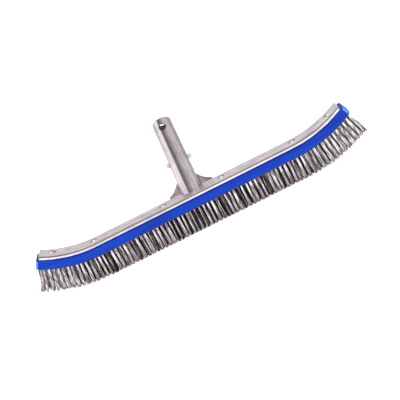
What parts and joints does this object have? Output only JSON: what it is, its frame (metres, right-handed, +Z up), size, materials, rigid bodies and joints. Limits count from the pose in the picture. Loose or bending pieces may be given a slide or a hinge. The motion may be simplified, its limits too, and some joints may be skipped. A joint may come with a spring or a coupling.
{
  "type": "pool wall brush",
  "caption": "Curved pool wall brush: grooved aluminium back with a hollow faceted pole handle, blue plastic bristle block, mixed bristle tufts and a spring clip with snap pins.",
  "frame": {"origin": "centre of the brushing face that the trimmed bristle tips make along the straight middle", "axes": "+X along the brush, +Y towards the side the handle leans to, +Z up from the bristle tips to the back"},
  "size_m": [0.476, 0.1107, 0.1393],
  "materials": {
    "cast_aluminium": "satin as-cast with fine lengthwise marks",
    "blue_plastic": "satin moulded polypropylene",
    "screw_steel": "bright zinc",
    "bristle_mix": "white nylon and crimped steel filaments mixed",
    "anchor_wire": "flat drawn wire",
    "clip_nylon": "natural nylon"
  },
  "bodies": {
    "brush": {"back_casting": "cast_aluminium", "bristle_block": "blue_plastic", "screw_inner_left": "screw_steel", "screw_inner_right": "screw_steel", "screw_middle_left": "screw_steel", "screw_middle_right": "screw_steel", "screw_end_left": "screw_steel", "screw_end_right": "screw_steel", "tufts_row_1": "bristle_mix", "tufts_row_2": "bristle_mix", "tufts_row_3": "bristle_mix", "tufts_row_4": "bristle_mix", "tufts_row_5": "bristle_mix", "anchors_row_1": "anchor_wire", "anchors_row_2": "anchor_wire", "anchors_row_3": "anchor_wire", "anchors_row_4": "anchor_wire", "anchors_row_5": "anchor_wire", "clip_bend": "clip_nylon"},
    "left_arm": {"clip_arm_left": "clip_nylon"},
    "right_arm": {"clip_arm_right": "clip_nylon"}
  },
  "joints": [
    {"name": "left_pin_press", "type": "hinge", "parent": "brush", "child": "left_arm", "pos_m": [-0.006, 0.06582, 0.10991], "axis": [0, -0.766, 0.6428], "range_deg": [0, 8.3], "stiffness_Nm_per_rad": 3},
    {"name": "right_pin_press", "type": "hinge", "parent": "brush", "child": "right_arm", "pos_m": [0.006, 0.06582, 0.10991], "axis": [0, 0.766, -0.6428], "range_deg": [0, 8.3], "stiffness_Nm_per_rad": 3}
  ]
}
